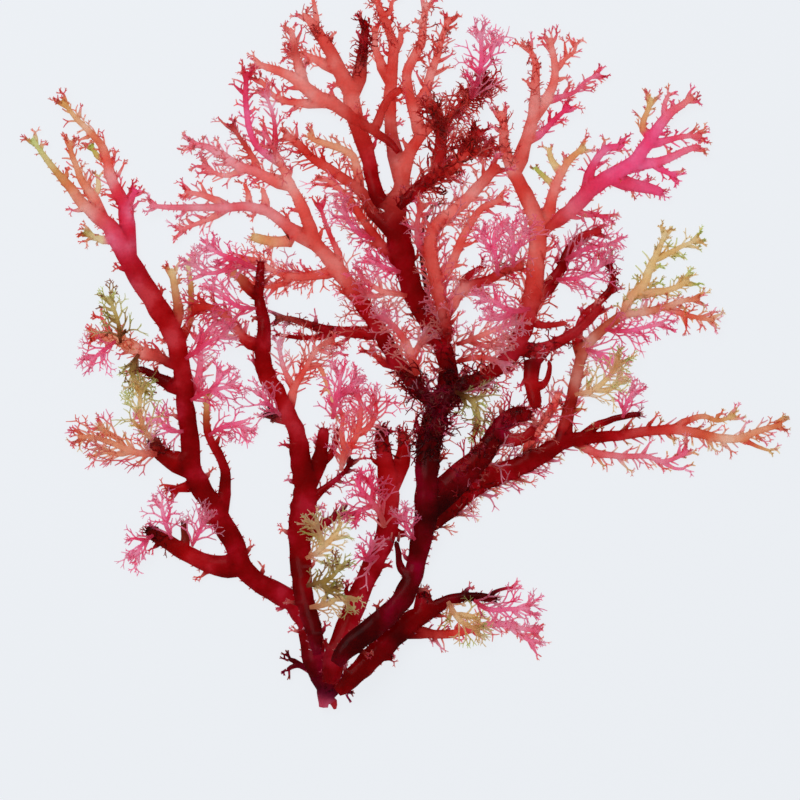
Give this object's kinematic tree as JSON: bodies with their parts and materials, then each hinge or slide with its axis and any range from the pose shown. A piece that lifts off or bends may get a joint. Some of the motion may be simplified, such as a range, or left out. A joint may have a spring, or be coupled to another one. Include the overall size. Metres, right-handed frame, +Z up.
{
  "type": "irish moss seaweed",
  "caption": "Branched red seaweed lying flat: flat forking fronds from a small holdfast, crimson below, with salmon, pink and tan lacy side shoots.",
  "frame": {"origin": "under the holdfast, on the surface that the plant lies on", "axes": "+Z up from the surface, +Y from the holdfast towards the frond tips, +X to the right seen from above"},
  "size_m": [0.2135, 0.2024, 0.0107],
  "materials": {
    "crimson": "wet, smooth and slightly translucent",
    "dark_crimson": "wet, smooth and slightly translucent",
    "salmon": "wet, smooth and slightly translucent",
    "rose": "wet, smooth and slightly translucent",
    "pink": "wet, smooth and slightly translucent",
    "tan": "wet, smooth and slightly translucent",
    "olive": "wet, smooth and slightly translucent",
    "purple": "wet, smooth and slightly translucent"
  },
  "bodies": {
    "root": {"crossing_branch": "salmon", "dark_branch": "dark_crimson", "holdfast": "purple", "hot_pink_spray": "pink", "inner_frond": "salmon", "left_crown_frond": "salmon", "left_frond": "crimson", "lower_frond": "crimson", "main_frond": "dark_crimson", "olive_hook": "olive", "olive_tuft_centre": "olive", "olive_tuft_left": "olive", "olive_tuft_stem": "olive", "pink_spray_A1": "pink", "pink_spray_A2": "pink", "pink_spray_A3": "pink", "pink_spray_A4": "pink", "pink_spray_A5": "pink", "pink_spray_A6": "pink", "pink_spray_A7": "pink", "pink_spray_A8": "pink", "pink_spray_B1": "pink", "pink_spray_B2": "pink", "pink_spray_B3": "pink", "pink_spray_C1": "pink", "pink_spray_C2": "pink", "pink_spray_D1": "pink", "pink_spray_D2": "pink", "pink_spray_E1": "pink", "pink_spray_E2": "pink", "pink_spray_E3": "pink", "pink_spray_F1": "pink", "pink_spray_H1": "pink", "pink_spray_H2": "pink", "pink_spray_H3": "pink", "pink_spray_I1": "pink", "pink_spray_I2": "pink", "pink_spray_crown": "pink", "pink_tree": "pink", "right_crown_frond": "salmon", "right_frond": "crimson", "rose_arm": "rose", "salmon_comb_lower": "salmon", "salmon_comb_trunk": "salmon", "salmon_comb_upper": "salmon", "salmon_spray_centre": "salmon", "salmon_spray_inner": "salmon", "second_frond": "crimson", "short_frond": "crimson", "tan_arm": "tan", "tan_brush": "tan", "tan_spray_right": "tan", "tan_tuft_fork": "tan", "tan_tuft_left": "tan", "tan_tuft_lower": "tan", "tan_tuft_stem": "tan"}
  },
  "joints": []
}
